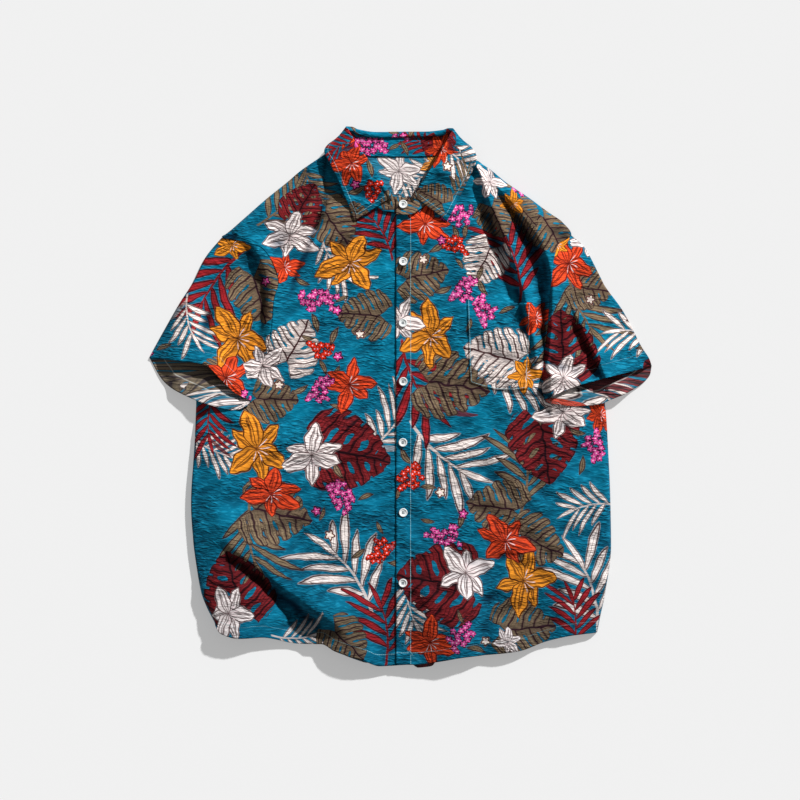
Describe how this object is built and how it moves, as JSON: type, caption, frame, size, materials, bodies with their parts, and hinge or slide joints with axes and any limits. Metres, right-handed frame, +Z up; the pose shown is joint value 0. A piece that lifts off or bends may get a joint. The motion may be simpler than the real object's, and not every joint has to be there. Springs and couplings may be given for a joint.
{
  "type": "hawaiian shirt",
  "caption": "Short-sleeved shirt with a pointed collar, breast pocket and tropical print, buttoned up and laid flat on its back.",
  "frame": {"origin": "on the ground, under the middle of the shirt's outline as it lies", "axes": "+Y from hem to collar, +X to the wearer's left, +Z up out of the shirt's front"},
  "size_m": [0.683, 0.7306, 0.0272],
  "materials": {
    "cloth": "matte",
    "button": "gloss"
  },
  "bodies": {
    "root": {"back": "cloth", "front_right": "cloth", "front_left": "cloth", "sleeve_right": "cloth", "sleeve_left": "cloth", "collar_stand": "cloth", "collar_leaf": "cloth", "pocket": "cloth", "button_1": "button", "button_2": "button", "button_3": "button", "button_4": "button", "button_5": "button", "button_6": "button", "button_7": "button"}
  },
  "joints": []
}
